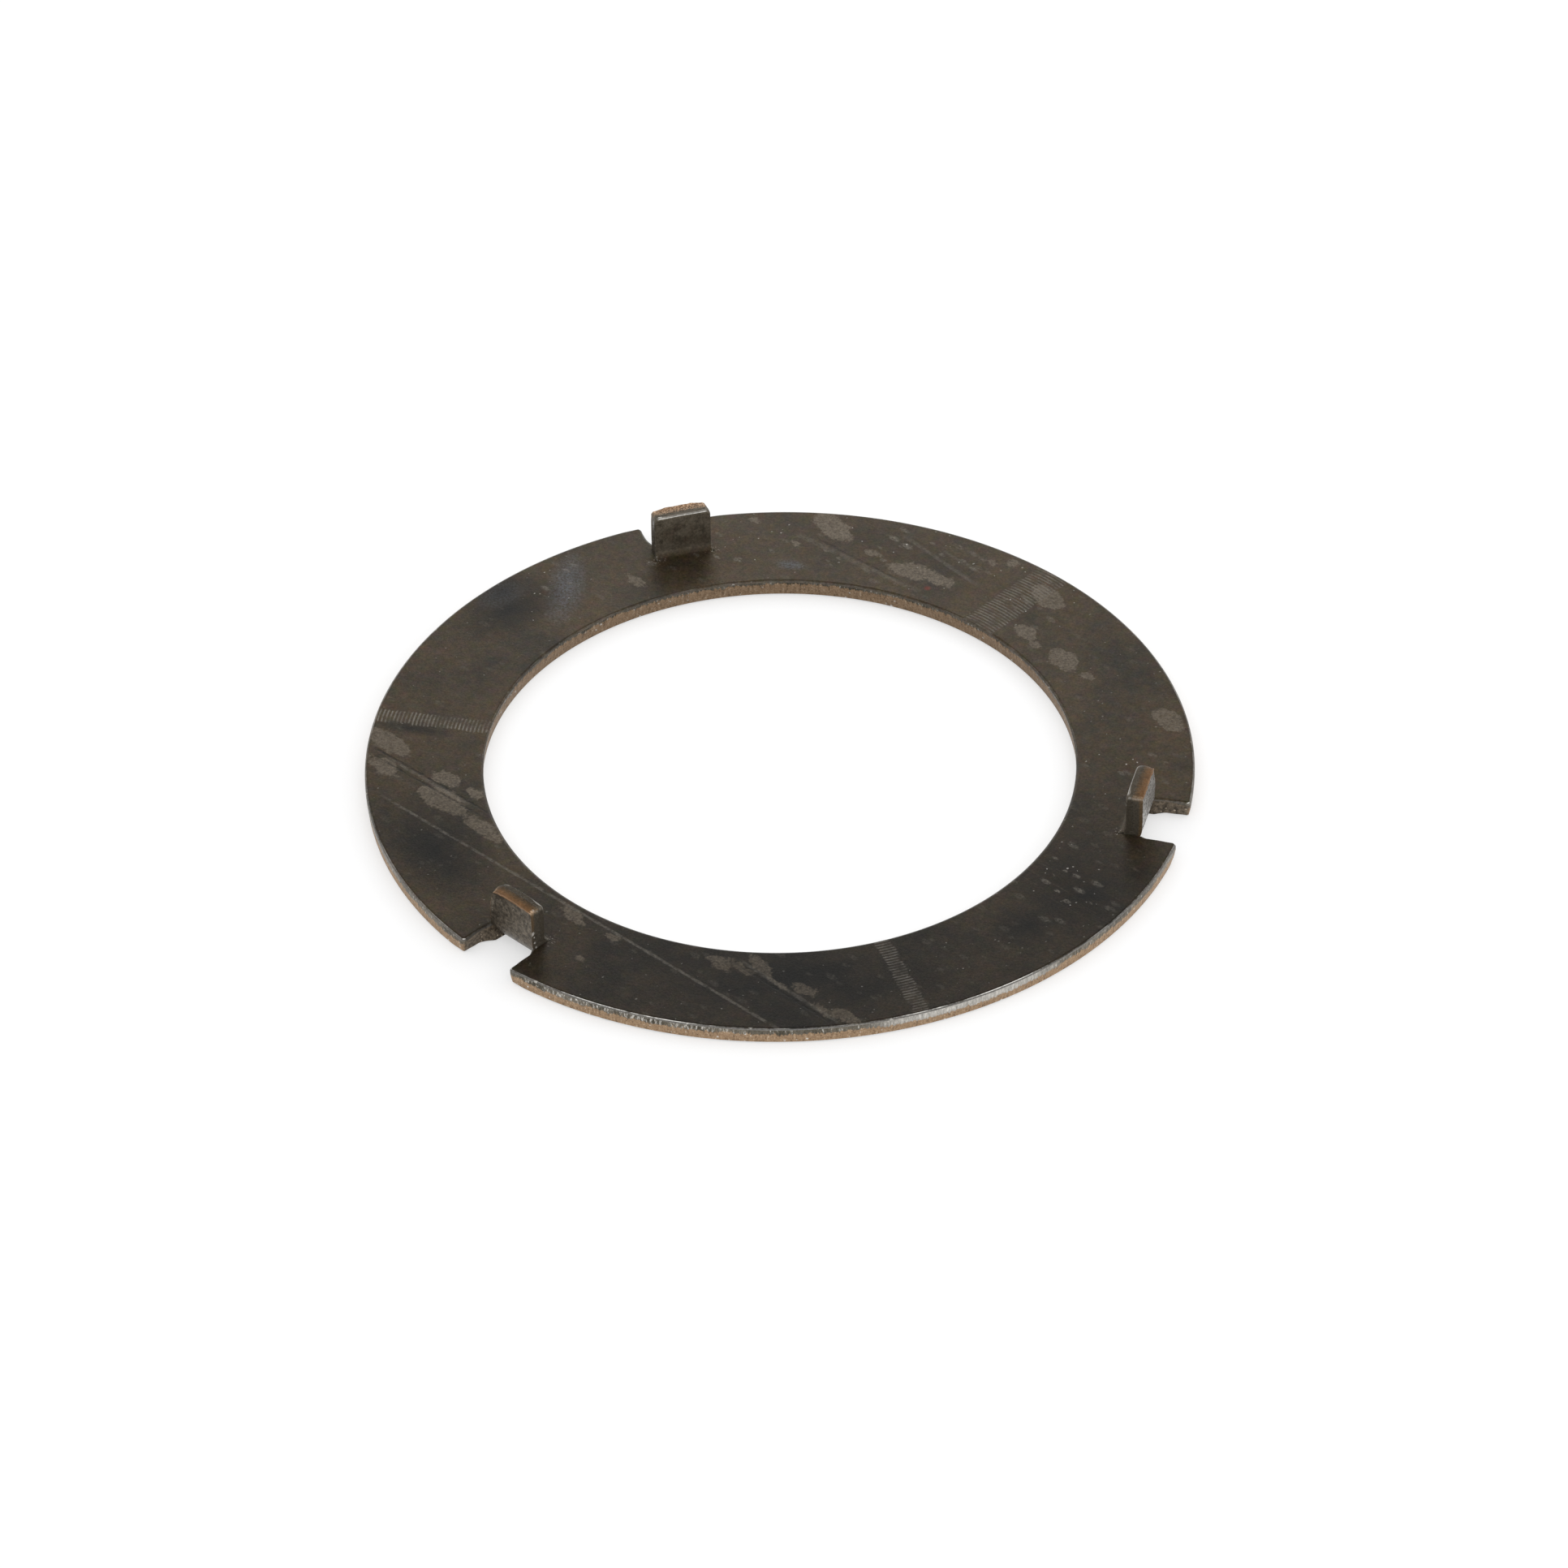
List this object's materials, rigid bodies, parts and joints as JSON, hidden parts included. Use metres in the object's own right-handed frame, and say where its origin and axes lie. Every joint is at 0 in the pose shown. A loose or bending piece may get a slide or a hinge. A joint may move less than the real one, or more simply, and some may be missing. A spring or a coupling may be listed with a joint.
{
  "type": "thrust washer",
  "caption": "Flat steel thrust washer: a blanked ring with a wide bore and anti-rotation tabs lanced from the rim and folded up square to it.",
  "frame": {"origin": "on the bore's axis, in the plane of the flat back face", "axes": "+Z along the bore's axis, towards the tabs; +X through the middle of the first tab"},
  "size_m": [0.0978, 0.098, 0.0077],
  "materials": {
    "steel": "dark oxidised faces, bare sheared edges"
  },
  "bodies": {
    "root": {"thrust_washer": "steel"}
  },
  "joints": []
}
